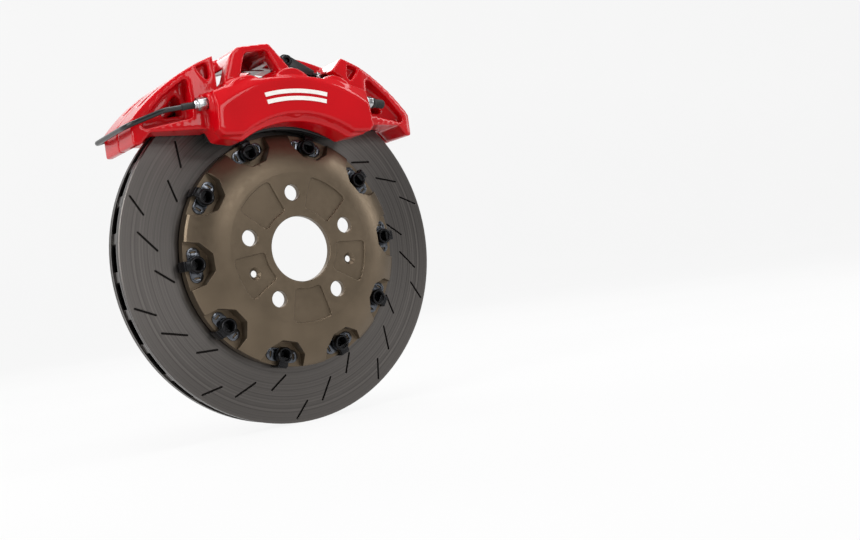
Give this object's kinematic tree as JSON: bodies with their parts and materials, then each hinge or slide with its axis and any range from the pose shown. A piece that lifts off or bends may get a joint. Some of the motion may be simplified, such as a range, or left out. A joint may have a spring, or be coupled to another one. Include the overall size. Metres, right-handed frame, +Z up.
{
  "type": "brake caliper with disc",
  "caption": "Opposed-piston disc brake caliper over a vented, slotted floating disc on a bell, with pads, external crossover pipe and bleed screws.",
  "frame": {"origin": "centre of the hub bore on the bell's mounting face", "axes": "+Y along the spin axis towards the car (inboard), +Z up through the middle of the caliper, +X to the right seen from outboard"},
  "size_m": [0.345, 0.1484, 0.375],
  "materials": {
    "caliper_paint": "gloss red paint on cast aluminium",
    "zinc_steel": "bright zinc plating",
    "seal_rubber": "moulded rubber",
    "stainless": "stamped stainless",
    "black_steel": "black coated steel",
    "black_pipe": "black plastic-coated steel tube",
    "white_paint": "white paint",
    "cap_rubber": "matt rubber",
    "friction": "pressed friction compound",
    "piston_alloy": "hard anodised",
    "bell_anodised": "satin bronze anodised",
    "black_bobbin": "black oxide",
    "disc_iron": "turned and ground"
  },
  "bodies": {
    "caliper": {"outboard_half": "caliper_paint", "inboard_half": "caliper_paint", "bridge_bolts": "zinc_steel", "piston_seals_outboard": "seal_rubber", "piston_seals_inboard": "seal_rubber", "dust_boots_outboard": "seal_rubber", "dust_boots_inboard": "seal_rubber", "abutment_plates": "stainless", "retainer_bar": "black_steel", "retainer_collar": "zinc_steel", "retainer_bolt": "black_steel", "tube_nuts": "zinc_steel", "crossover_pipe": "black_pipe", "panel_stripes": "white_paint"},
    "bell": {"bell": "bell_anodised", "drive_bobbins": "black_bobbin", "bobbin_clip_plates": "stainless", "bobbin_nuts": "zinc_steel"},
    "rotor": {"rotor_ring": "disc_iron"},
    "outboard_pad": {"pad_backing_outboard": "black_steel", "pad_friction_outboard": "friction"},
    "inboard_pad": {"pad_backing_inboard": "black_steel", "pad_friction_inboard": "friction"},
    "bleed_outboard": {"bleed_screw_outboard": "zinc_steel", "bleed_cap_outboard": "cap_rubber"},
    "bleed_inboard": {"bleed_screw_inboard": "zinc_steel", "bleed_cap_inboard": "cap_rubber"},
    "piston_outboard_1": {"piston_outboard_1": "piston_alloy"},
    "piston_outboard_2": {"piston_outboard_2": "piston_alloy"},
    "piston_outboard_3": {"piston_outboard_3": "piston_alloy"},
    "piston_inboard_1": {"piston_inboard_1": "piston_alloy"},
    "piston_inboard_2": {"piston_inboard_2": "piston_alloy"},
    "piston_inboard_3": {"piston_inboard_3": "piston_alloy"}
  },
  "joints": [
    {"name": "bell_spin", "type": "hinge", "parent": "caliper", "child": "bell", "pos_m": [0, 0, 0], "axis": [0, 1, 0], "continuous": true},
    {"name": "rotor_float", "type": "slide", "parent": "bell", "child": "rotor", "axis": [0, 1, 0], "range_m": [-0.00025, 0.00025]},
    {"name": "outboard_pad_slide", "type": "slide", "parent": "caliper", "child": "outboard_pad", "axis": [0, 1, 0], "range_m": [0, 0.0009]},
    {"name": "inboard_pad_slide", "type": "slide", "parent": "caliper", "child": "inboard_pad", "axis": [0, -1, 0], "range_m": [0, 0.0009]},
    {"name": "outboard_piston_1_slide", "type": "slide", "parent": "caliper", "child": "piston_outboard_1", "axis": [0, 1, 0], "range_m": [0, 0.0009]},
    {"name": "outboard_piston_2_slide", "type": "slide", "parent": "caliper", "child": "piston_outboard_2", "axis": [0, 1, 0], "range_m": [0, 0.0009]},
    {"name": "outboard_piston_3_slide", "type": "slide", "parent": "caliper", "child": "piston_outboard_3", "axis": [0, 1, 0], "range_m": [0, 0.0009]},
    {"name": "inboard_piston_1_slide", "type": "slide", "parent": "caliper", "child": "piston_inboard_1", "axis": [0, -1, 0], "range_m": [0, 0.0009]},
    {"name": "inboard_piston_2_slide", "type": "slide", "parent": "caliper", "child": "piston_inboard_2", "axis": [0, -1, 0], "range_m": [0, 0.0009]},
    {"name": "inboard_piston_3_slide", "type": "slide", "parent": "caliper", "child": "piston_inboard_3", "axis": [0, -1, 0], "range_m": [0, 0.0009]},
    {"name": "bleed_screw_outboard_turn", "type": "hinge", "parent": "caliper", "child": "bleed_outboard", "pos_m": [0.084, -0.021, 0.143], "axis": [0.9886, 0, -0.1504], "range_deg": [0, 270]},
    {"name": "bleed_screw_inboard_turn", "type": "hinge", "parent": "caliper", "child": "bleed_inboard", "pos_m": [0.084, 0.093, 0.143], "axis": [0.9886, 0, -0.1504], "range_deg": [0, 270]}
  ],
  "couplings": [
    {"joint": "outboard_piston_1_slide", "follows": "outboard_pad_slide", "ratio": 1},
    {"joint": "outboard_piston_2_slide", "follows": "outboard_pad_slide", "ratio": 1},
    {"joint": "outboard_piston_3_slide", "follows": "outboard_pad_slide", "ratio": 1},
    {"joint": "inboard_piston_1_slide", "follows": "inboard_pad_slide", "ratio": 1},
    {"joint": "inboard_piston_2_slide", "follows": "inboard_pad_slide", "ratio": 1},
    {"joint": "inboard_piston_3_slide", "follows": "inboard_pad_slide", "ratio": 1}
  ]
}
